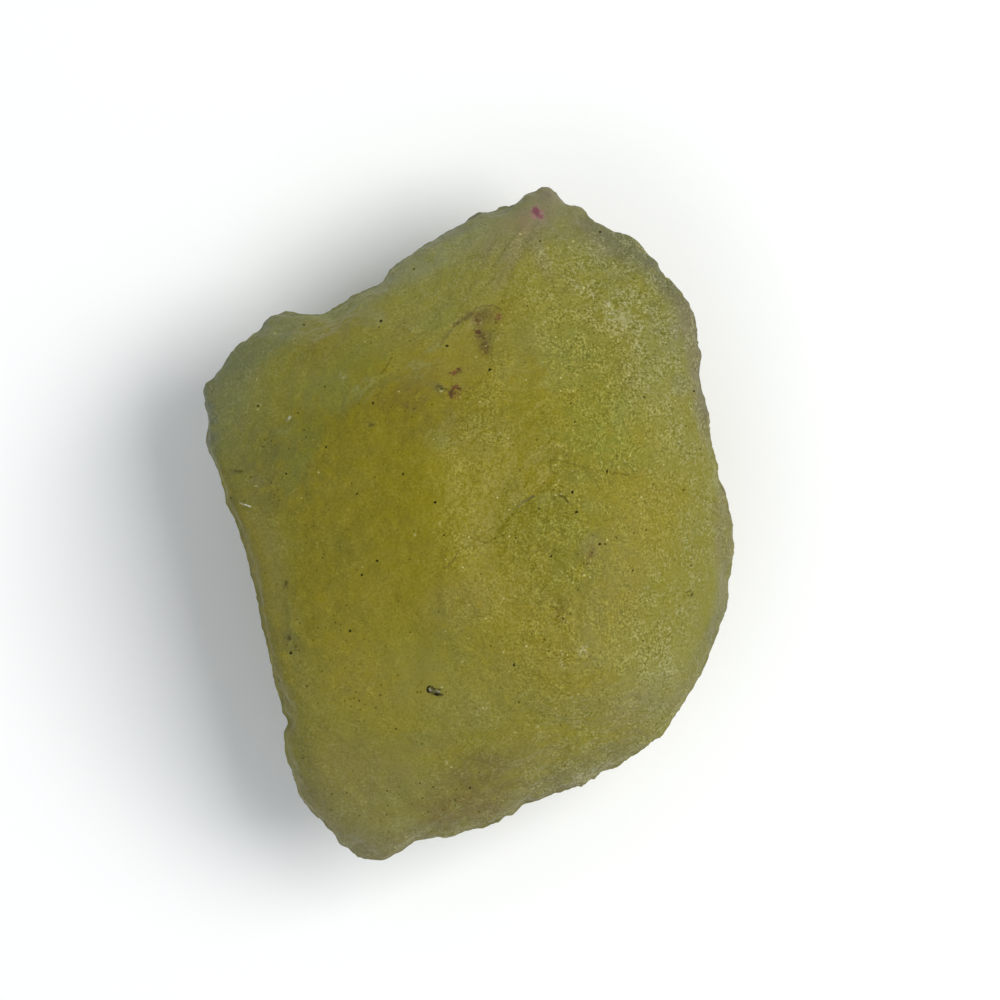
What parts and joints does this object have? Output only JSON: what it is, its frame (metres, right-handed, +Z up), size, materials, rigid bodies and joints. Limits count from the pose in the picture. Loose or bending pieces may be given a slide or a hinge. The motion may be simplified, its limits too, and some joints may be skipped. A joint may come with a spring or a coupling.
{
  "type": "rough topaz",
  "caption": "Rough, cloudy yellow-green topaz with worn break faces, a low ledge, shell-shaped chips and a flat cleavage face to rest on.",
  "frame": {"origin": "middle of the footprint's box, on the flat face that the stone rests on", "axes": "+Y along the stone's long side towards its peak, +X across it, +Z up from the resting face"},
  "size_m": [0.0318, 0.0402, 0.019],
  "materials": {
    "topaz": "waxy and frosted, cloudy and lightly see-through, with dust pits and a few rust-brown stains"
  },
  "bodies": {
    "root": {"topaz": "topaz"}
  },
  "joints": []
}
